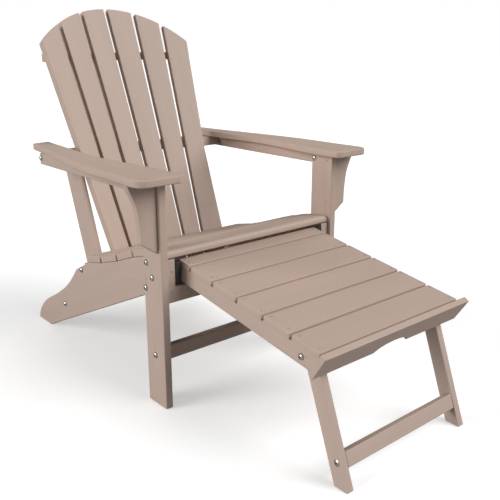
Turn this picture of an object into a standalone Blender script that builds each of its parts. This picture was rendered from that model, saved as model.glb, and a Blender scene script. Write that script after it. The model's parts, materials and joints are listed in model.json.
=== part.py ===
"""Adirondack chair with a pull-out ottoman, built board by board.

Metres, +Z up.  The chair faces -Y, stands on Z = 0 and is symmetric about X = 0.
Depths are written from the front edge of the front legs, then moved by Y_ORIGIN
so that the origin is under the middle of the whole object, ottoman pulled out.
"""
from math import atan, cos, pi, radians, sin, tan

import bmesh
import bpy
from mathutils import Vector

# ---- stock -------------------------------------------------------------------
BOARD = 0.020            # thickness of every frame board
CLEAR = 0.0003           # gap left where two boards touch
EDGE = 0.0025            # rounding of the board edges
LUMBER = (0.44, 0.36, 0.31)
STEEL = (0.62, 0.61, 0.59)

# ---- front frame -------------------------------------------------------------
LEG_INNER = 0.273        # half the clear width between the front legs
LEG_OUTER = LEG_INNER + BOARD
LEG_DEPTH = 0.0775
ARM_TOP = 0.587
ARM_THICK = 0.018
ARM_UNDER = ARM_TOP - ARM_THICK
FRAME_HALF = LEG_INNER - CLEAR          # half-length of what fits between the legs
RAIL_HEIGHT = 0.0315
CORBEL_FRONT = 0.0097
CORBEL_HEIGHT = 0.170

# Arm outline, from the front: (depth, distance outward from the leg's inner face).
ARM_OUTER = ((0.005, 0.097), (0.068, 0.094), (0.199, 0.092), (0.285, 0.083),
             (0.390, 0.066), (0.512, 0.045), (0.637, 0.029))
ARM_INNER = ((0.023, -0.024), (0.084, -0.021), (0.142, -0.014), (0.201, -0.006), (0.267, 0.0),
             (0.344, 0.002), (0.449, -0.008), (0.557, -0.0165), (0.6455, -0.024))
# Corbel's hollow edge, from the arm down: (distance out from the leg, drop below the arm).
CORBEL_CURVE = ((0.073, 0.0023), (0.070, 0.011), (0.0625, 0.027), (0.0515, 0.054),
                (0.047, 0.082), (0.0445, 0.111), (0.044, 0.140))
ARM_FRONT = -0.0436
ARM_CORNER_OUT = 0.026
ARM_CORNER_IN = 0.016

# ---- seat --------------------------------------------------------------------
SLAT_THICK = 0.0186
SLAT_GAP = 0.0058
SEAT_FRONT = CORBEL_FRONT
# Top corners of the five flats that the seat slats lie in: (depth, height).
SEAT_LINE = ((SEAT_FRONT, 0.400), (0.085, 0.3918), (0.166, 0.3693), (0.247, 0.3391),
             (0.333, 0.3127), (0.4286, 0.292))
NOSE = 0.010             # rounding of the front slat's nose
SLAT_END_REAR = 0.410    # rear slat's depth on the stringers, beside the back

# ---- apron and stretcher -----------------------------------------------------
APRON_LOW = 0.270
APRON_BAR_TOP = 0.3088
APRON_HALF_OPEN = FRAME_HALF - 0.0247
STRETCHER = (0.0287, 0.0487, 0.1154, 0.1522)

# ---- stringers ---------------------------------------------------------------
STRINGER_OUTER = LEG_INNER - CLEAR
STRINGER_INNER = LEG_INNER - BOARD
STRINGER_FRONT = SEAT_FRONT + BOARD + CLEAR
SEAT_END = 0.403         # depth where the stringer's top leaves the seat slats
STRINGER_HEEL = 0.482
STRINGER_TOE = 0.7737
FOOT_FRONT = 0.690
UNDER_SLOPE = 0.4625     # fall of the stringer's straight lower edge
# Shaped upper edge of the rear leg: (depth, height).
OGEE = ((STRINGER_HEEL, 0.238), (0.524, 0.194), (0.565, 0.161), (0.603, 0.1375), (0.641, 0.1153),
        (0.673, 0.0996), (0.705, 0.0818), (0.735, 0.0592), (0.754, 0.040), (0.769, 0.019),
        (STRINGER_TOE, 0.0))

# ---- back --------------------------------------------------------------------
BACK_SLAT = 0.020
BACK_LOW = 0.225
BACK_TOP = 0.963
BACK_TOP_RADIUS = 0.350
RECLINE = 0.425          # rearward run of the back for each unit of height
BACK_DEPTH = 0.431       # depth of the middle of the back's front face at SPLAY_FROM
BACK_HOLLOW = 0.027      # how far its edges come forward there
BACK_SEAMS = (-1.0, -0.69, -0.35, 0.0, 0.35, 0.69, 1.0)     # as parts of the half-width
SEAM_HALF = 0.0245
BACK_HALF = LEG_INNER - 0.085    # half-width of the fan of slats at SPLAY_FROM
BACK_FAN = 0.105         # its widening for each unit of height
SPLAY_FROM = 0.300
POST_INNER = BACK_HALF + 0.022
POST_LEAN = RECLINE - 0.068
POST_DEPTH = 0.075
POST_FOOT = BACK_DEPTH + 1.11 * BACK_SLAT - 0.0406   # front edge of the post at BACK_LOW
# Supports behind the slats: underside, top, rear edge.
LOWER_REAR = BACK_DEPTH + RECLINE * (ARM_UNDER - SPLAY_FROM) + 0.0547
UPPER_REAR = BACK_DEPTH + RECLINE * (0.823 - SPLAY_FROM) + 0.0587
LOWER_SUPPORT = (ARM_UNDER - 0.027, ARM_UNDER - CLEAR, LOWER_REAR)
UPPER_SUPPORT = (0.812, 0.834, UPPER_REAR)
UPPER_CROWN = 0.060      # forward fall of its rear edge towards the ends
BOTTOM_SUPPORT = (BACK_LOW, 0.270, BACK_DEPTH + 0.029)
BRACE = (0.5613, 0.5813, 0.076, 0.136)

# ---- ottoman -----------------------------------------------------------------
OTT_SLOPE = radians(9.4)
OTT_ORIGIN = (-0.4517, 0.2933)          # front top corner of the slats
OTT_PITCH = 0.0869
OTT_GAP = 0.0065
OTT_SLAT = 0.0155
OTT_LENGTH = 5 * OTT_PITCH + 0.0455
OTT_HALF = APRON_HALF_OPEN - 0.0195
OTT_RAIL_OUTER = OTT_HALF - 0.002
OTT_RAIL = 0.0195
OTT_RAIL_HEIGHT = 0.0385
END_BOARD = 0.015
END_HALF = OTT_HALF + 0.0118
END_HEIGHT = 0.0655
END_LOW = (-0.4272, 0.2452)             # rear bottom corner
END_TILT = radians(32.6)
HAND_HOLD = (0.054, 0.022)              # half-width and height of the arch
PIVOT = (-0.3955, 0.2673)               # leg pivot: depth, height
OTT_LEG_INNER = OTT_RAIL_OUTER - OTT_RAIL - BOARD - 0.0027
OTT_LEG_WIDTH = 0.0349
OTT_LEG_LEAN = atan(0.370)
GLIDE_PIVOT_DROP = 0.026                # glide pin above the rail's underside
GLIDE_LIP = 0.0025
GLIDE_HEAD = 0.0270                     # glide's top above its pin

# ---- fasteners: (depth, height) on the face the head sits on -----------------
LEG_BOLTS = {"upper": (0.0637, 0.3661), "middle": (0.0401, 0.3334), "lower": (0.0698, 0.3012)}
STRETCHER_BOLT = (0.0387, 0.1340)
POST_BOLT = (0.4463, 0.2453)
RAIL_BOLT = (LOWER_REAR - 0.0387, ARM_UNDER - 0.0135)
SHANK = 0.0035
PIVOT_SHANK = 0.0040

FOOT_HALF = OTT_LEG_WIDTH / (2 * cos(OTT_LEG_LEAN))
FOOT_MID = PIVOT[0] - PIVOT[1] * tan(OTT_LEG_LEAN)
Y_ORIGIN = -(STRINGER_TOE + FOOT_MID - FOOT_HALF) / 2

GLIDE_A = (OTT_ORIGIN[0] - SEAT_FRONT - BOARD / 2) / -cos(OTT_SLOPE)


# ---- shape helpers -----------------------------------------------------------
def smooth(points, steps=4):
    """Points of a Catmull-Rom curve through `points`."""
    pts = [Vector(p) for p in points]
    pts = [2 * pts[0] - pts[1]] + pts + [2 * pts[-1] - pts[-2]]
    out = []
    for a, b, c, d in zip(pts, pts[1:], pts[2:], pts[3:]):
        for k in range(steps):
            t = k / steps
            out.append(0.5 * (2 * b + (c - a) * t + (2 * a - 5 * b + 4 * c - d) * t ** 2
                              + (3 * b - a - 3 * c + d) * t ** 3))
    out.append(pts[-2])
    return [tuple(p) for p in out]


def arc(centre, radius, start, end, steps):
    """Points on a circle from angle `start` to `end`, in degrees."""
    angles = [radians(start + (end - start) * k / steps) for k in range(steps + 1)]
    return [(centre[0] + radius * cos(a), centre[1] + radius * sin(a)) for a in angles]


def offset_down(points, distance):
    """A chain of points moved down, square to its segments, with mitred corners."""
    pts = [Vector(p) for p in points]
    dirs = [(b - a).normalized() for a, b in zip(pts, pts[1:])]
    downs = [Vector((d.y, -d.x)) for d in dirs]
    out = [pts[0] + downs[0] * distance]
    for i in range(1, len(pts) - 1):
        mitre = (downs[i - 1] + downs[i]).normalized()
        out.append(pts[i] + mitre * distance / mitre.dot(downs[i]))
    out.append(pts[-1] + downs[-1] * distance)
    return [tuple(p) for p in out]


def height_at(chain, depth):
    """Height of a chain of (depth, height) points at one depth."""
    for (y0, z0), (y1, z1) in zip(chain, chain[1:]):
        if depth <= y1:
            break
    return z0 + (z1 - z0) * (depth - y0) / (y1 - y0)


def place(name, bm, colour=LUMBER, metallic=0.0, edge=EDGE, parent=None, rough=0.55):
    """Turn a bmesh in the chair's own depths into a named object with its material."""
    bmesh.ops.recalc_face_normals(bm, faces=bm.faces)
    home = parent.matrix_world.translation if parent else Vector((0, Y_ORIGIN, 0))
    bmesh.ops.translate(bm, verts=bm.verts, vec=Vector((0, Y_ORIGIN, 0)) - home)
    mesh = bpy.data.meshes.new(name)
    bm.to_mesh(mesh)
    bm.free()
    obj = bpy.data.objects.new(name, mesh)
    bpy.context.scene.collection.objects.link(obj)
    if parent:
        obj.parent = parent
    else:
        obj.location = home
    mat = bpy.data.materials.new(name)
    mat.use_nodes = True
    shader = mat.node_tree.nodes["Principled BSDF"]
    shader.inputs["Base Color"].default_value = (*colour, 1.0)
    shader.inputs["Roughness"].default_value = rough
    shader.inputs["Metallic"].default_value = metallic
    mesh.materials.append(mat)
    if edge:
        mod = obj.modifiers.new("rounded edges", "BEVEL")
        mod.width = edge
        mod.segments = 2
        mod.limit_method = "ANGLE"
        mod.angle_limit = radians(40)
    return obj


def loft(name, low, high, **style):
    """Solid between two outlines with matching 3-D points."""
    bm = bmesh.new()
    a = [bm.verts.new(p) for p in low]
    b = [bm.verts.new(p) for p in high]
    n = len(a)
    bm.faces.new(a)
    bm.faces.new(b)
    for i in range(n):
        bm.faces.new((a[i], a[(i + 1) % n], b[(i + 1) % n], b[i]))
    return place(name, bm, **style)


def board_x(name, outline, x0, x1, **style):
    """Board cut to a (depth, height) outline, lying between two X planes."""
    return loft(name, [(x0, y, z) for y, z in outline], [(x1, y, z) for y, z in outline], **style)


def board_y(name, outline, y0, y1, **style):
    """Board cut to an (x, height) outline, lying between two depths."""
    return loft(name, [(x, y0, z) for x, z in outline], [(x, y1, z) for x, z in outline], **style)


def board_z(name, outline, z0, z1, **style):
    """Board cut to an (x, depth) outline, lying between two heights."""
    return loft(name, [(x, y, z0) for x, y in outline], [(x, y, z1) for x, y in outline], **style)


def box(y0, y1, z0, z1):
    return ((y0, z0), (y1, z0), (y1, z1), (y0, z1))


def turned(name, profile, at, side, sides=16, **style):
    """Round part about an X axis through `at`; profile is (|x|, radius) from one end."""
    bm = bmesh.new()
    rings = []
    for x, r in profile:
        rings.append([bm.verts.new((side * x, at[0] + r * cos(2 * pi * k / sides),
                                    at[1] + r * sin(2 * pi * k / sides))) for k in range(sides)])
    bm.faces.new(rings[0])
    bm.faces.new(rings[-1])
    for a, b in zip(rings, rings[1:]):
        for k in range(sides):
            bm.faces.new((a[k], a[(k + 1) % sides], b[(k + 1) % sides], b[k]))
    obj = place(name, bm, edge=0, **style)
    obj.data.shade_smooth()
    obj.data.set_sharp_from_angle(angle=radians(40))
    return obj


def combine(obj, tool, operation):
    """Cut `tool` from `obj` or join it on, and keep the tool as a hidden guide."""
    tool.hide_render = True
    tool.display_type = "WIRE"
    mod = obj.modifiers.new(tool.name, "BOOLEAN")
    mod.operation = operation
    mod.object = tool


def bolt(name, at, side, face, end, boards, shank=SHANK, parent=None):
    """Domed bolt on the plane |x| = face, its shank in a clearance hole in each board."""
    seat = face + CLEAR
    dome = [(seat + 0.0040, 0.0022), (seat + 0.0036, 0.0042), (seat + 0.0026, 0.0062),
            (seat + 0.0012, 0.0076), (seat, 0.0080)]
    turned(name, dome + [(seat, shank), (end, shank)], at, side, colour=STEEL, metallic=1.0,
           rough=0.3, parent=parent)
    drill(name + "_hole", at, side, face + 0.002, end - CLEAR, shank, boards)


def drill(name, at, side, start, end, shank, boards):
    """Hole with running clearance about a shank, in each of the boards."""
    hole = shank + 0.0004
    tool = turned(name, [(start, hole), (end, hole)], at, side)
    for obj in boards:
        combine(obj, tool, "DIFFERENCE")


# ---- back geometry -----------------------------------------------------------
def back_half(z):
    """Half-width of the fan of back slats at a height."""
    return BACK_HALF + BACK_FAN * (z - SPLAY_FROM)


def back_front(z, u):
    """Depth of the back's front face: flat slats between seams on a hollow curve."""
    hollow = BACK_HOLLOW + 0.021 * (z - SPLAY_FROM)
    for a, b in zip(BACK_SEAMS, BACK_SEAMS[1:]):
        if u <= b:
            break
    t = min(1.0, (u - a) / (b - a))
    curve = abs(a) ** 1.5 * (1 - t) + abs(b) ** 1.5 * t
    return BACK_DEPTH + RECLINE * (z - SPLAY_FROM) - hollow * curve


def back_top(x):
    """Height of the arched top of the back at a distance from its middle."""
    fall = BACK_TOP_RADIUS - (BACK_TOP_RADIUS ** 2 - x ** 2) ** 0.5
    return BACK_TOP - fall * cos(atan(RECLINE))


def back_rear_edge(z):
    """Points (x, depth) just behind the slats at a height, left to right."""
    front = [(u * back_half(z), back_front(z, u)) for u in BACK_SEAMS]
    plan = [abs((b[1] - a[1]) / (b[0] - a[0])) for a, b in zip(front, front[1:])]
    steepest = [max(pair) for pair in zip(plan[:1] + plan, plan + plan[-1:])]
    runs = [BACK_SLAT * (1 + RECLINE ** 2 + s ** 2) ** 0.5 + 2 * CLEAR for s in steepest]
    return [(x, y + run) for (x, y), run in zip(front, runs)]


def back_slat(name, u0, u1, columns=6):
    """Tapered slat, its edges square to its own face, its top cut to the arch."""
    low, high = [], []
    for k in range(columns + 1):
        u = u0 + (u1 - u0) * k / columns
        top = BACK_TOP
        for _ in range(6):
            top = back_top(u * back_half(top))
        low.append(Vector((u * back_half(BACK_LOW), back_front(BACK_LOW, u), BACK_LOW)))
        high.append(Vector((u * back_half(top), back_front(top, u), top)))
    across = low[-1] - low[0]
    through = (high[0] - low[0]).cross(across).normalized() * BACK_SLAT
    if through.y < 0:
        through = -through
    bm = bmesh.new()
    grid = [[bm.verts.new(p) for p in row] for row in (low, high)]
    back = [[bm.verts.new(p + through) for p in row] for row in (low, high)]
    for k in range(columns):
        bm.faces.new((grid[0][k], grid[0][k + 1], grid[1][k + 1], grid[1][k]))
        bm.faces.new((back[0][k], back[0][k + 1], back[1][k + 1], back[1][k]))
        bm.faces.new((grid[0][k], grid[0][k + 1], back[0][k + 1], back[0][k]))
        bm.faces.new((grid[1][k], grid[1][k + 1], back[1][k + 1], back[1][k]))
    for k in (0, columns):
        bm.faces.new((grid[0][k], grid[1][k], back[1][k], back[0][k]))
    return place(name, bm)


def back_support(name, low, high, rear, half, crown=0.0):
    """Level board whose front edge follows the rear of the back slats."""
    steps = [k / 5 for k in range(5, -6, -1)] if crown else [1, -1]
    rows = []
    for z in (low, high):
        edge = back_rear_edge(z)
        edge = [(-half, edge[0][1])] + edge + [(half, edge[-1][1])]
        rear_edge = [(half * t, rear - crown * t * t, z) for t in steps]
        rows.append([(x, y, z) for x, y in edge] + rear_edge)
    return loft(name, rows[0], rows[1])


# ---- ottoman geometry --------------------------------------------------------
def ott(a, b):
    """Depth and height of a point `a` back along the ottoman's slats and `b` above their top."""
    c, s = cos(OTT_SLOPE), sin(OTT_SLOPE)
    return (OTT_ORIGIN[0] + a * c - b * s, OTT_ORIGIN[1] + a * s + b * c)


def end_face(b):
    """Position along the slats of the end board's rear face, at a height above their top."""
    along = (-sin(END_TILT), cos(END_TILT))
    dy, dz = END_LOW[0] - OTT_ORIGIN[0], END_LOW[1] - OTT_ORIGIN[1]
    a0 = dy * cos(OTT_SLOPE) + dz * sin(OTT_SLOPE)
    b0 = -dy * sin(OTT_SLOPE) + dz * cos(OTT_SLOPE)
    da = along[0] * cos(OTT_SLOPE) + along[1] * sin(OTT_SLOPE)
    db = -along[0] * sin(OTT_SLOPE) + along[1] * cos(OTT_SLOPE)
    return a0 + da * (b - b0) / db


def empty(name, y, z, parent=None):
    """Joint frame at a depth and height."""
    obj = bpy.data.objects.new(name, None)
    bpy.context.scene.collection.objects.link(obj)
    spot = Vector((0, y + Y_ORIGIN, z))
    if parent:
        obj.parent = parent
        spot -= parent.matrix_world.translation
    obj.location = spot
    bpy.context.view_layer.update()
    return obj


# ---- the chair ---------------------------------------------------------------
def seat_slats(stringer_top):
    """Five slats, each in its own flat of the seat line."""
    for i, (p0, p1) in enumerate(zip(SEAT_LINE, SEAT_LINE[1:])):
        a, b = Vector(p0), Vector(p1)
        along = (b - a).normalized()
        down = Vector((along.y, -along.x)) * SLAT_THICK
        start = a if i == 0 else a + along * SLAT_GAP / 2
        end = b - along * SLAT_GAP / 2
        name = f"seat_slat_{i + 1}"
        if i == 0:
            low = start + down
            nose = arc((a.x + NOSE, a.y - NOSE - 0.0008), NOSE, 180, 90, 5)
            outline = [(a.x, low.y)] + nose + [tuple(end), tuple(end + down)]
            board_x(name, outline, -FRAME_HALF, FRAME_HALF)
        elif i < 4:
            outline = [tuple(start), tuple(end), tuple(end + down), tuple(start + down)]
            board_x(name, outline, -FRAME_HALF, FRAME_HALF)
        else:
            rear_seat_slat(name, start, along, down)


def rear_seat_slat(name, start, along, down):
    """Rear slat, scribed to the front of the back slats."""
    low_z = SEAT_LINE[-1][1] - SLAT_THICK
    scribe = [(u * back_half(low_z), back_front(low_z, u) + 0.0025) for u in BACK_SEAMS]
    outer = scribe[-1][0] + 0.006
    edge = [(-FRAME_HALF, SLAT_END_REAR), (-outer, SLAT_END_REAR)] + scribe
    edge += [(outer, SLAT_END_REAR), (FRAME_HALF, SLAT_END_REAR)]
    plan = [(FRAME_HALF, start.x), (-FRAME_HALF, start.x)] + edge
    top = [(x, y, start.y + (y - start.x) * along.y / along.x) for x, y in plan]
    loft(name, [(x, y + down.x, z + down.y) for x, y, z in top], top)


def stringer_outline():
    """Seat rail and rear leg in one board."""
    top = offset_down(SEAT_LINE, SLAT_THICK + CLEAR)
    front = (STRINGER_FRONT, height_at(top, STRINGER_FRONT))
    rear = (SEAT_END, height_at(top, SEAT_END))
    seat = [front] + [p for p in top if STRINGER_FRONT < p[0] < SEAT_END] + [rear]
    low = FOOT_FRONT - 0.006
    front_low = (STRINGER_FRONT, (low - STRINGER_FRONT) * UNDER_SLOPE)
    return seat + smooth(OGEE, 3) + [(FOOT_FRONT, 0.0), (low, 0.003), front_low]


def arm_outline(side):
    """Armrest: rounded front corners, full front, tapering to the rear."""
    out_x, in_x = LEG_INNER + ARM_OUTER[0][1], LEG_INNER + ARM_INNER[0][1]
    corner_out = arc((out_x - ARM_CORNER_OUT, ARM_FRONT + ARM_CORNER_OUT), ARM_CORNER_OUT, -90, 0, 5)
    corner_in = arc((in_x + ARM_CORNER_IN, ARM_FRONT + ARM_CORNER_IN), ARM_CORNER_IN, 180, 270, 4)
    outer = smooth([(LEG_INNER + x, y) for y, x in ARM_OUTER], 3)
    inner = smooth([(LEG_INNER + x, y) for y, x in ARM_INNER], 2)
    return [(side * x, y) for x, y in corner_in + corner_out + outer + inner[::-1]]


def corbel_outline(side):
    """Bracket under the arm, hollow on its outer edge."""
    inner = LEG_OUTER + CLEAR
    curve = smooth([(LEG_OUTER + out, ARM_UNDER - drop) for out, drop in CORBEL_CURVE], 2)
    reach = curve[0][0]
    outline = [(inner, ARM_UNDER - CLEAR), (reach, ARM_UNDER - CLEAR)] + curve
    outline += [(inner, ARM_UNDER - CORBEL_HEIGHT)]
    return [(side * x, z) for x, z in outline]


def chair():
    """Everything that is bolted rigid.  Returns the apron and each side's boards."""
    apron = front_apron()
    y0, y1, z0, z1 = STRETCHER
    stretcher = board_x("front_stretcher", box(y0, y1, z0, z1), -FRAME_HALF, FRAME_HALF)
    y0, y1, z0, z1 = BRACE
    brace_half = STRINGER_INNER - CLEAR
    board_x("rear_foot_brace", box(y0, y1, z0, z1), -brace_half, brace_half)
    post_half = POST_INNER - CLEAR
    bottom = back_support("bottom_back_support", *BOTTOM_SUPPORT, post_half)
    lower = back_support("lower_back_support", *LOWER_SUPPORT, LEG_OUTER)
    upper_half = back_half(UPPER_SUPPORT[1]) + 0.002
    back_support("upper_back_support", *UPPER_SUPPORT, upper_half, UPPER_CROWN)
    for i, (a, b) in enumerate(zip(BACK_SEAMS, BACK_SEAMS[1:])):
        left = a + (SEAM_HALF if i > 0 else 0)
        right = b - (SEAM_HALF if i < 5 else 0)
        back_slat(f"back_slat_{i + 1}", left, right)
    outline = stringer_outline()
    seat_slats(outline)
    for tag, side in (("l", 1), ("r", -1)):
        one_side(tag, side, outline, stretcher, bottom, lower)
    return apron


def front_apron():
    """U-shaped board: the ottoman passes over its bar, between its uprights."""
    top = height_at(offset_down(SEAT_LINE, SLAT_THICK + CLEAR), SEAT_FRONT + BOARD)
    w, o, bar = FRAME_HALF, APRON_HALF_OPEN, APRON_BAR_TOP
    outline = [(-w, APRON_LOW), (w, APRON_LOW), (w, top), (o, top), (o, bar), (-o, bar), (-o, top), (-w, top)]
    return board_y("front_apron", outline, SEAT_FRONT, SEAT_FRONT + BOARD, edge=0.002)


def one_side(tag, side, outline, stretcher, bottom, lower):
    top = ARM_UNDER - CLEAR
    stringer = board_x(f"stringer_{tag}", outline, side * STRINGER_INNER, side * STRINGER_OUTER)
    leg = board_x(f"front_leg_{tag}", box(0, LEG_DEPTH, 0, top), side * LEG_INNER, side * LEG_OUTER)
    board_y(f"corbel_{tag}", corbel_outline(side), CORBEL_FRONT, CORBEL_FRONT + BOARD)
    rail_in = LEG_OUTER + CLEAR
    rail_box = box(CORBEL_FRONT + BOARD + CLEAR, LOWER_REAR - 0.029, top - RAIL_HEIGHT, top)
    rail = board_x(f"arm_rail_{tag}", rail_box, side * rail_in, side * (rail_in + BOARD - CLEAR))
    board_z(f"armrest_{tag}", arm_outline(side), ARM_UNDER, ARM_TOP, edge=0.003)

    head = LOWER_SUPPORT[0] - CLEAR
    shift = (head - BACK_LOW) * POST_LEAN
    post_outline = ((POST_FOOT, BACK_LOW), (POST_FOOT + POST_DEPTH, BACK_LOW),
                    (POST_FOOT + POST_DEPTH + shift, head), (POST_FOOT + shift, head))
    post_out = POST_INNER + BOARD - CLEAR
    post = board_x(f"rear_post_{tag}", post_outline, side * POST_INNER, side * post_out)
    y, z = POST_BOLT
    spacer = board_x(f"post_spacer_{tag}", box(y - 0.020, y + 0.020, z - 0.022, z + 0.012),
                     side * (post_out + CLEAR), side * (STRINGER_INNER - CLEAR), edge=0.0015)

    for level, at in LEG_BOLTS.items():
        bolt(f"leg_bolt_{level}_{tag}", at, side, LEG_OUTER, STRINGER_INNER + 0.003, (leg, stringer))
    bolt(f"stretcher_bolt_{tag}", STRETCHER_BOLT, side, LEG_OUTER, LEG_INNER - 0.028, (leg, stretcher))
    bolt(f"post_bolt_{tag}", POST_BOLT, side, STRINGER_OUTER, POST_INNER - 0.015,
         (stringer, spacer, post, bottom))
    bolt(f"rail_bolt_{tag}", RAIL_BOLT, side, rail_in + BOARD - CLEAR, LEG_OUTER - 0.025, (rail, lower))


# ---- the ottoman -------------------------------------------------------------
def ottoman(apron):
    rail_low = -OTT_SLAT - CLEAR - OTT_RAIL_HEIGHT
    glide_at = ott(GLIDE_A + (rail_low + GLIDE_PIVOT_DROP) * tan(OTT_SLOPE), rail_low + GLIDE_PIVOT_DROP)
    tilt = empty("ottoman_tilt_axis", *glide_at)
    slide = empty("ottoman_slide_axis", *glide_at, parent=tilt)
    fold = empty("leg_fold_axis", *PIVOT, parent=slide)
    glides(tilt, glide_at, apron)

    for i in range(6):
        start = i * OTT_PITCH + OTT_GAP / 2
        end = min(OTT_LENGTH, (i + 1) * OTT_PITCH - OTT_GAP / 2)
        corners = [ott(start, 0), ott(end, 0), ott(end, -OTT_SLAT), ott(start, -OTT_SLAT)]
        board_x(f"ottoman_slat_{i + 1}", corners, -OTT_HALF, OTT_HALF, parent=slide, edge=0.002)
    end_board(slide)
    rail_top = -OTT_SLAT - CLEAR
    front = [ott(end_face(rail_top) + 2 * CLEAR, rail_top), ott(end_face(rail_low) + 2 * CLEAR, rail_low)]
    rear = [ott(OTT_LENGTH - 0.002, rail_low), ott(OTT_LENGTH - 0.002, rail_top)]
    for tag, side in (("l", 1), ("r", -1)):
        inner = OTT_RAIL_OUTER - OTT_RAIL
        rail = board_x(f"ottoman_rail_{tag}", front + rear, side * inner, side * OTT_RAIL_OUTER,
                       parent=slide, edge=0.002)
        leg = ottoman_leg(tag, side, fold)
        bolt(f"leg_pivot_bolt_{tag}", PIVOT, side, OTT_RAIL_OUTER, OTT_LEG_INNER + 0.0005, (rail, leg),
             shank=PIVOT_SHANK, parent=slide)
    leg_stretcher(fold)


def glides(tilt, at, apron):
    """Shoes that carry the rails on a lip and swivel on pins in the apron's uprights."""
    c, s = cos(OTT_SLOPE), sin(OTT_SLOPE)
    low = -GLIDE_PIVOT_DROP - CLEAR
    out_x, in_x = APRON_HALF_OPEN - 0.0006, OTT_HALF + 0.0005
    lip_x = OTT_RAIL_OUTER - 0.0145
    section = ((lip_x, low - GLIDE_LIP), (out_x, low - GLIDE_LIP), (out_x, GLIDE_HEAD),
               (in_x, GLIDE_HEAD),
               (in_x, low), (lip_x, low))
    for tag, side in (("l", 1), ("r", -1)):
        ends = []
        for a in (-0.008, 0.008):
            ends.append([(side * x, at[0] + a * c - b * s, at[1] + a * s + b * c) for x, b in section])
        glide = loft(f"ottoman_glide_{tag}", ends[0], ends[1], parent=tilt, edge=0.0006,
                     colour=(0.05, 0.05, 0.05), rough=0.45)
        pin = turned(f"glide_pin_{tag}", [(out_x - 0.004, 0.003), (out_x + 0.014, 0.003)], at, side)
        combine(glide, pin, "UNION")
        drill(f"glide_pin_hole_{tag}", at, side, APRON_HALF_OPEN - 0.002, out_x + 0.0145, 0.003, (apron,))


def end_board(slide):
    """Board across the ottoman's front, arched below as a hand hold."""
    half, height = HAND_HOLD
    arch = [(half * cos(t), height * sin(t)) for t in [pi * k / 12 for k in range(1, 12)]]
    outline = [(-END_HALF, 0), (-half, 0)] + arch[::-1] + [(half, 0), (END_HALF, 0)]
    outline += [(END_HALF, END_HEIGHT), (-END_HALF, END_HEIGHT)]
    up = (-sin(END_TILT), cos(END_TILT))
    out = (-cos(END_TILT), -sin(END_TILT))
    faces = []
    for t in (0, END_BOARD):
        faces.append([(x, END_LOW[0] + h * up[0] + t * out[0], END_LOW[1] + h * up[1] + t * out[1])
                      for x, h in outline])
    loft("ottoman_end_board", faces[0], faces[1], parent=slide, edge=0.002)


def ottoman_leg(tag, side, fold):
    """Leg leaning forward, its top rounded about the pivot, its foot cut level."""
    lean = 90 - OTT_LEG_LEAN * 180 / pi
    head = arc(PIVOT, OTT_LEG_WIDTH / 2, lean - 90, lean + 90, 10)
    outline = head + [(FOOT_MID - FOOT_HALF, 0), (FOOT_MID + FOOT_HALF, 0)]
    x1 = OTT_LEG_INNER + BOARD
    return board_x(f"ottoman_leg_{tag}", outline, side * OTT_LEG_INNER, side * x1, parent=fold, edge=0.002)


def leg_stretcher(fold):
    """Board between the ottoman's legs, near the ground."""
    lean = OTT_LEG_LEAN
    along = Vector((-sin(lean), -cos(lean)))
    back = Vector((cos(lean), -sin(lean)))
    top = Vector((-0.4843, 0.0761))
    low = top + along * 0.0345
    outline = [tuple(p) for p in (top, low, low + back * BOARD, top + back * BOARD)]
    half = OTT_LEG_INNER - CLEAR
    board_x("ottoman_leg_stretcher", outline, -half, half, parent=fold, edge=0.002)


for old in list(bpy.data.objects):
    bpy.data.objects.remove(old)
ottoman(chair())
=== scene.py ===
import json
from math import cos, pi, radians, sin

import bmesh
import bpy
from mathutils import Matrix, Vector


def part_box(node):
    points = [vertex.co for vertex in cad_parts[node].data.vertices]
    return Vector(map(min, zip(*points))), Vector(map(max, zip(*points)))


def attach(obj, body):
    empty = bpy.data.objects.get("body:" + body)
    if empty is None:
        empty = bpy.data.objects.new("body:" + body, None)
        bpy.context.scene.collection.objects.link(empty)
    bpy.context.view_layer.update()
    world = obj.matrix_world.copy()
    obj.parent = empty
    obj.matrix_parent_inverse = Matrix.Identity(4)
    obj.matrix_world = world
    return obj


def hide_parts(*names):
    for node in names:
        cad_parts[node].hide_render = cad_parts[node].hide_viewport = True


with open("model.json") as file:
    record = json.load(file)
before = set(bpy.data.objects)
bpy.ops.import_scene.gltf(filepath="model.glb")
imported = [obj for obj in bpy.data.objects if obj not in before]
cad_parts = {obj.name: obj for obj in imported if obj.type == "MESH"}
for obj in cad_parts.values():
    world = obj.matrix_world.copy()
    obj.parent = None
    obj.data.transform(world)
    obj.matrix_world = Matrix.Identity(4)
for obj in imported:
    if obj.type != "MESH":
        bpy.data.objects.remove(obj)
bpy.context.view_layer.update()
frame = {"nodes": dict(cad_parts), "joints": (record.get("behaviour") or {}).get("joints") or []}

front_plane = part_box("front_leg_l")[0].y          # front edge of the front legs
joints = {j["name"]: j for j in frame["joints"]}
ottoman_slope = Vector(joints["ottoman_slide"]["axis"])


# ---- materials -------------------------------------------------------------------
def node(tree, kind, **values):
    """A shader node with its inputs or properties set."""
    made = tree.nodes.new(kind)
    for key, value in values.items():
        if key in made.inputs:
            made.inputs[key].default_value = value
        else:
            setattr(made, key, value)
    return made


def noise(tree, vector, scale, detail=3.0, roughness=0.55):
    made = node(tree, "ShaderNodeTexNoise", Scale=scale, Detail=detail, Roughness=roughness)
    tree.links.new(vector, made.inputs["Vector"])
    return made.outputs["Fac"]


def remap(tree, source, low, high):
    """Spreads the middle of a noise over the range low to high."""
    made = node(tree, "ShaderNodeMapRange")
    made.inputs["From Min"].default_value = 0.3
    made.inputs["From Max"].default_value = 0.7
    made.inputs["To Min"].default_value = low
    made.inputs["To Max"].default_value = high
    tree.links.new(source, made.inputs["Value"])
    return made.outputs["Result"]


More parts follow.
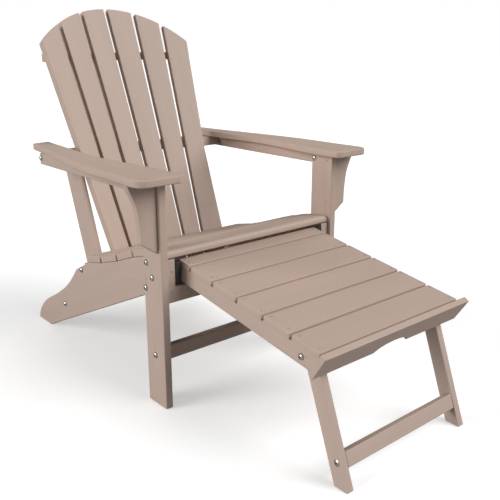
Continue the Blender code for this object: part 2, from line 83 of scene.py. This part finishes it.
def multiply(tree, a, b):
    made = node(tree, "ShaderNodeMath", operation="MULTIPLY")
    tree.links.new(a, made.inputs[0])
    tree.links.new(b, made.inputs[1])
    return made.outputs["Value"]


def add(tree, a, b, share):
    """a + b * share."""
    made = node(tree, "ShaderNodeMath", operation="MULTIPLY_ADD")
    tree.links.new(b, made.inputs[0])
    made.inputs[1].default_value = share
    tree.links.new(a, made.inputs[2])
    return made.outputs["Value"]


def lumber(name, along):
    """Matte taupe plastic lumber: a brushed grain along the board, cloudy colour, fine tooth."""
    mat = bpy.data.materials.new(name)
    mat.use_nodes = True
    tree = mat.node_tree
    shader = tree.nodes["Principled BSDF"]
    place = tree.nodes.new("ShaderNodeTexCoord").outputs["Object"]
    turn = tree.nodes.new("ShaderNodeMapping")
    turn.inputs["Rotation"].default_value = Vector(along).rotation_difference(Vector((1, 0, 0))).to_euler()
    tree.links.new(place, turn.inputs["Vector"])
    stretch = tree.nodes.new("ShaderNodeMapping")
    stretch.inputs["Scale"].default_value = (9.0, 260.0, 260.0)
    tree.links.new(turn.outputs["Vector"], stretch.inputs["Vector"])
    band = tree.nodes.new("ShaderNodeMapping")
    band.inputs["Scale"].default_value = (1.6, 26.0, 26.0)
    tree.links.new(turn.outputs["Vector"], band.inputs["Vector"])

    streak = noise(tree, stretch.outputs["Vector"], 1.0, 4.0, 0.6)
    cloud = noise(tree, band.outputs["Vector"], 1.0, 3.0, 0.5)
    tooth = noise(tree, place, 1500.0, 2.0, 0.6)
    speck = noise(tree, place, 420.0, 2.0, 0.5)

    tone = multiply(tree, remap(tree, cloud, 0.985, 1.015), remap(tree, streak, 0.975, 1.025))
    tone = multiply(tree, tone, remap(tree, speck, 0.975, 1.025))
    tint = node(tree, "ShaderNodeMix", data_type="RGBA")
    tint.inputs["A"].default_value = (*LUMBER_COOL, 1.0)
    tint.inputs["B"].default_value = (*LUMBER_WARM, 1.0)
    tree.links.new(cloud, tint.inputs["Factor"])
    shade = tree.nodes.new("ShaderNodeVectorMath")
    shade.operation = "SCALE"
    tree.links.new(tint.outputs["Result"], shade.inputs[0])
    tree.links.new(tone, shade.inputs["Scale"])
    tree.links.new(shade.outputs["Vector"], shader.inputs["Base Color"])
    tree.links.new(remap(tree, streak, 0.50, 0.62), shader.inputs["Roughness"])
    shader.inputs["Specular IOR Level"].default_value = 0.42

    relief = add(tree, streak, tooth, 0.35)
    bump = node(tree, "ShaderNodeBump", Strength=0.45, Distance=0.00035)
    tree.links.new(relief, bump.inputs["Height"])
    tree.links.new(bump.outputs["Normal"], shader.inputs["Normal"])
    return mat


def plain(name, colour, rough, metallic=0.0, grain=0.06, scale=900.0, depth=0.00003):
    """Smooth stock with a slight unevenness in its polish."""
    mat = bpy.data.materials.new(name)
    mat.use_nodes = True
    tree = mat.node_tree
    shader = tree.nodes["Principled BSDF"]
    place = tree.nodes.new("ShaderNodeTexCoord").outputs["Object"]
    fine = noise(tree, place, scale, 3.0)
    shader.inputs["Metallic"].default_value = metallic
    tree.links.new(remap(tree, fine, rough - grain, rough + grain), shader.inputs["Roughness"])
    tint = tree.nodes.new("ShaderNodeVectorMath")
    tint.operation = "SCALE"
    tint.inputs[0].default_value = colour
    tree.links.new(remap(tree, fine, 0.94, 1.06), tint.inputs["Scale"])
    tree.links.new(tint.outputs["Vector"], shader.inputs["Base Color"])
    bump = node(tree, "ShaderNodeBump", Strength=0.3, Distance=depth)
    tree.links.new(fine, bump.inputs["Height"])
    tree.links.new(bump.outputs["Normal"], shader.inputs["Normal"])
    return mat


LUMBER_COOL = (0.450, 0.343, 0.286)
LUMBER_WARM = (0.478, 0.362, 0.298)
across = lumber("lumber_across", (1, 0, 0))
upright = lumber("lumber_upright", (0, 0, 1))
level = lumber("lumber_level", (0, 1, 0))
sloping = lumber("lumber_stringer", (0, 0.906, -0.422))
leaning = lumber("lumber_post", (0, 0.336, 0.942))
reclined = lumber("lumber_back", (0, 0.391, 0.920))
sliding = lumber("lumber_ottoman", ottoman_slope)
splayed = lumber("lumber_leg", (0, 0.347, 0.938))
steel = plain("stainless", (0.66, 0.65, 0.63), 0.24, metallic=1.0)
nylon = plain("nylon", (0.035, 0.035, 0.037), 0.45)
painted = plain("screw_paint", (0.40, 0.325, 0.28), 0.38)
# Near-black painted shade for the floor of each drive socket, in place of the steel or paint lying in
# shade there.
shadow = plain("painted_socket_shade", (0.05, 0.042, 0.038), 0.6)

GRAIN = (("front_leg", upright), ("corbel", upright), ("armrest", level), ("arm_rail", level),
         ("stringer", sloping), ("rear_post", leaning), ("post_spacer", upright), ("back_slat", reclined),
         ("ottoman_rail", sliding), ("ottoman_leg_stretcher", across), ("ottoman_leg", splayed),
         ("ottoman_glide", nylon))
steel_nodes = [n for n in frame["nodes"] if "_bolt_" in n]
for name, obj in frame["nodes"].items():
    finish = next((m for start, m in GRAIN if name.startswith(start)), across)
    finish = steel if name in steel_nodes else finish
    obj.data.materials.clear()
    obj.data.materials.append(finish)
    weld = obj.modifiers.new("weld", "WELD")
    weld.merge_threshold = 0.00001
    obj.data.shade_smooth()
    smooth = obj.modifiers.new("soft edges", "WEIGHTED_NORMAL")
    smooth.keep_sharp = True
    smooth.weight = 100


# ---- fasteners -------------------------------------------------------------------
BOLT_RADIUS = 0.0080
BOLT_HEIGHT = 0.0042
SCREW_RADIUS = 0.0036
SCREW_HEIGHT = 0.0009
HEAD_GAP = 0.0002          # from the surface to the underside of a head
LEG_MIDDLE = 0.283         # middle of a front leg's thickness, from the plane of symmetry
SCREW_INSET = 0.018        # screws' distance in from a seat slat's edges
OTTOMAN_INSET = 0.013      # the same for an ottoman slat
BENEATH_BACK = 0.070       # depth of the rear seat slat in front of the back


def facing(name, toward):
    """Normal and offset of a CAD node's largest flat face towards a direction."""
    areas = {}
    for poly in frame["nodes"][name].data.polygons:
        if poly.normal.dot(Vector(toward)) > 0.8:
            offset = poly.normal.dot(poly.center)
            key = (*(round(c, 2) for c in poly.normal), round(offset, 4))
            area = areas.get(key, (0, None, None))[0]
            areas[key] = (area + poly.area, poly.normal.copy(), offset)
    area, normal, offset = max(areas.values(), key=lambda entry: entry[0])
    return normal, offset


def middle_of(name):
    low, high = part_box(name)
    return (low + high) / 2


def onto(name, toward, point):
    """The point moved along `toward` onto that face, and the face's normal."""
    normal, offset = facing(name, toward)
    way = Vector(toward)
    point = Vector(point)
    return point + way * ((offset - normal.dot(point)) / normal.dot(way)), normal


def lathe_head(name, radius, height, lip, socket, sides, depth, steps=6, segments=24):
    """Domed head, its rim rounded under, with a polygonal drive socket sunk in the crown."""
    bm = bmesh.new()

    def ring(r, z):
        return [bm.verts.new((r * cos(2 * pi * k / segments), r * sin(2 * pi * k / segments), z))
                for k in range(segments)]

    def drive(z):
        made = []
        for k in range(segments):
            a = 2 * pi * k / segments
            step = 2 * pi / sides
            r = socket * cos(pi / sides) / cos((a % step) - step / 2)
            made.append(bm.verts.new((r * cos(a), r * sin(a), z)))
        return made

    rings = [ring(radius * 0.97, 0.0), ring(radius, lip * 0.4), ring(radius * 0.985, lip)]
    for k in range(1, steps):
        t = k / steps
        r = radius * 0.985 * (1 - t) + socket * 1.35 * t
        rings.append(ring(r, lip + (height - lip) * (1 - (1 - t) ** 2)))
    rings += [ring(socket * 1.12, height), drive(height - 0.0001), drive(height - depth)]
    bm.faces.new(rings[0][::-1])
    for a, b in zip(rings, rings[1:]):
        for k in range(segments):
            bm.faces.new((a[k], a[(k + 1) % segments], b[(k + 1) % segments], b[k]))
    # The socket's floor takes the second material, the near-black painted shade.
    floor = bm.faces.new(rings[-1])
    floor.material_index = 1
    bmesh.ops.recalc_face_normals(bm, faces=bm.faces)
    mesh = bpy.data.meshes.new(name)
    bm.to_mesh(mesh)
    bm.free()
    mesh.shade_smooth()
    mesh.set_sharp_from_angle(angle=radians(38))
    return mesh


bolt_mesh = lathe_head("bolt_head", BOLT_RADIUS, BOLT_HEIGHT, 0.0006, 0.0025, 6, 0.0020)
bolt_mesh.materials.append(steel)
bolt_mesh.materials.append(shadow)
screw_mesh = lathe_head("screw_head", SCREW_RADIUS, SCREW_HEIGHT, 0.0002, 0.0013, 4, 0.0007)
screw_mesh.materials.append(painted)
screw_mesh.materials.append(shadow)


def head(name, mesh, spot, normal, body, crown=1.0):
    """A fastener's head on a surface, standing on its normal; crown scales its height."""
    obj = bpy.data.objects.new(name, mesh)
    bpy.context.scene.collection.objects.link(obj)
    obj.rotation_mode = "QUATERNION"
    obj.rotation_quaternion = Vector(normal).to_track_quat("Z", "Y")
    obj.location = Vector(spot) + Vector(normal) * HEAD_GAP
    obj.scale = (1, 1, crown)
    bpy.context.view_layer.update()
    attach(obj, body)
    return obj


def bolt_on(name, board, side, depth, height, body, inward=False, crown=1.0):
    """Bolt head on the outer or inner face of a side board, at a depth and height."""
    way = Vector((-side if inward else side, 0, 0))
    spot, normal = onto(board, way, (middle_of(board).x, depth, height))
    return head(name, bolt_mesh, spot, normal, body, crown)


for name in steel_nodes:
    low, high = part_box(name)
    side = 1 if low.x > 0 else -1
    centre = (low + high) / 2
    outer = high.x if side > 0 else low.x
    body = "ottoman" if name.startswith("leg_pivot") else "chair"
    seat = outer - side * BOLT_HEIGHT
    piece = head(name + "_head", bolt_mesh, (seat, centre.y, centre.z), (side, 0, 0), body)
    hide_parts(name)

for tag, side in (("l", 1), ("r", -1)):
    leg, stringer = f"front_leg_{tag}", f"stringer_{tag}"
    brace = middle_of("rear_foot_brace")
    bolt_on(f"brace_bolt_{tag}", stringer, side, brace.y, brace.z, "chair")
    rail = middle_of(f"arm_rail_{tag}")
    bolt_on(f"arm_bolt_{tag}", leg, side, front_plane + 0.0684, rail.z + 0.0015, "chair", True)
    stretcher = middle_of("ottoman_leg_stretcher")
    # A low crown, so that it clears the ottoman's rail when the legs are folded.
    bolt_on(f"foot_bolt_{tag}", f"ottoman_leg_{tag}", side, stretcher.y, stretcher.z,
                    "leg_frame", crown=0.5)
    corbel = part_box(f"corbel_{tag}")
    for k, height in enumerate((corbel[1].z - 0.015, corbel[0].z + 0.038)):
        depth = (corbel[0].y + corbel[1].y) / 2
        spot, normal = onto(leg, (-side, 0, 0), (side * LEG_MIDDLE, depth, height))
        head(f"corbel_screw_{k}_{tag}", screw_mesh, spot, normal, "chair")
    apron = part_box("front_apron")
    for k, height in enumerate((apron[1].z - 0.029, apron[0].z + 0.028)):
        spot, normal = onto("front_apron", (0, -1, 0), (side * (apron[1].x - 0.0155), 0, height))
        head(f"apron_screw_{k}_{tag}", screw_mesh, spot, normal, "chair")
    rail_mid = middle_of(f"ottoman_rail_{tag}").x
    for i in range(1, 7):
        low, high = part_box(f"ottoman_slat_{i}")
        half = (high.y - low.y) / 2 - OTTOMAN_INSET
        for k, step in enumerate((-half, half)):
            spot, normal = onto(f"ottoman_slat_{i}", (0, 0, 1), (rail_mid, (low.y + high.y) / 2 + step, 0))
            head(f"ottoman_screw_{i}_{k}_{tag}", screw_mesh, spot, normal, "ottoman")
    stringer_mid = middle_of(stringer).x
    for i in range(1, 6):
        low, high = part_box(f"seat_slat_{i}")
        rear = low.y + BENEATH_BACK if i == 5 else high.y
        for k, depth in enumerate((low.y + SCREW_INSET, rear - SCREW_INSET)):
            spot, normal = onto(f"seat_slat_{i}", (0, 0, 1), (stringer_mid, depth, 0))
            head(f"seat_screw_{i}_{k}_{tag}", screw_mesh, spot, normal, "chair")


# ---- stage -----------------------------------------------------------------------
def studio_floor():
    """Large round floor, centred under the object."""
    bm = bmesh.new()
    bmesh.ops.create_circle(bm, cap_ends=True, segments=96, radius=40.0)
    mesh = bpy.data.meshes.new("studio_floor")
    bm.to_mesh(mesh)
    bm.free()
    obj = bpy.data.objects.new("studio_floor", mesh)
    bpy.context.scene.collection.objects.link(obj)
    obj.location = (0, 0, -0.0005)
    mat = bpy.data.materials.new("studio_floor")
    mat.use_nodes = True
    tree = mat.node_tree
    shader = tree.nodes["Principled BSDF"]
    shader.inputs["Roughness"].default_value = 0.9
    shader.inputs["Specular IOR Level"].default_value = 0.1
    pale = node(tree, "ShaderNodeMix", data_type="RGBA")
    pale.inputs["A"].default_value = (0.32, 0.32, 0.32, 1)
    pale.inputs["B"].default_value = (0.74, 0.74, 0.74, 1)
    tree.links.new(seen_by_camera(tree), pale.inputs["Factor"])
    tree.links.new(pale.outputs["Result"], shader.inputs["Base Color"])
    shader.inputs["Emission Color"].default_value = (1, 1, 1, 1)
    lift = multiply_by(tree, seen_by_camera(tree), FLOOR_GLOW)
    tree.links.new(lift, shader.inputs["Emission Strength"])
    mesh.materials.append(mat)


def multiply_by(tree, source, factor):
    made = node(tree, "ShaderNodeMath", operation="MULTIPLY")
    tree.links.new(source, made.inputs[0])
    made.inputs[1].default_value = factor
    return made.outputs["Value"]


def seen_by_camera(tree):
    return tree.nodes.new("ShaderNodeLightPath").outputs["Is Camera Ray"]


def studio_sky():
    """White surround, dimmer as a light than as a backdrop."""
    world = bpy.data.worlds.new("studio")
    bpy.context.scene.world = world
    world.use_nodes = True
    tree = world.node_tree
    level = node(tree, "ShaderNodeMapRange")
    level.inputs["To Min"].default_value = SKY_LIGHT
    level.inputs["To Max"].default_value = 1.0
    tree.links.new(seen_by_camera(tree), level.inputs["Value"])
    sky = tree.nodes["Background"]
    sky.inputs["Color"].default_value = (1, 1, 1, 1)
    tree.links.new(level.outputs["Result"], sky.inputs["Strength"])


def sun(name, source, strength, spread):
    """Broad, even light from a direction; strength 1 turns white paper white."""
    lamp = bpy.data.lights.new(name, "SUN")
    lamp.energy = strength * pi
    lamp.angle = radians(spread)
    obj = bpy.data.objects.new(name, lamp)
    bpy.context.scene.collection.objects.link(obj)
    obj.rotation_euler = Vector(source).to_track_quat("Z", "Y").to_euler()


SKY_LIGHT = 0.24
FLOOR_GLOW = 0.42          # lifts the floor so that its shadows stay pale
studio_floor()
studio_sky()
sun("side", (-0.90, 0.28, 0.30), 0.78, 34)
sun("front", (0.42, -0.66, 0.62), 0.84, 46)
bpy.context.scene.view_settings.view_transform = "Standard"

# ---- camera ----------------------------------------------------------------------
lens = bpy.data.cameras.new("camera")
lens.sensor_width = 36.0
lens.lens = 49.85
camera = bpy.data.objects.new("camera", lens)
bpy.context.scene.collection.objects.link(camera)
camera.location = (-1.1228, front_plane - 1.2874, 0.8729)
camera.rotation_euler = (radians(90 - 16.9), 0, radians(-40.5))
bpy.context.scene.camera = camera
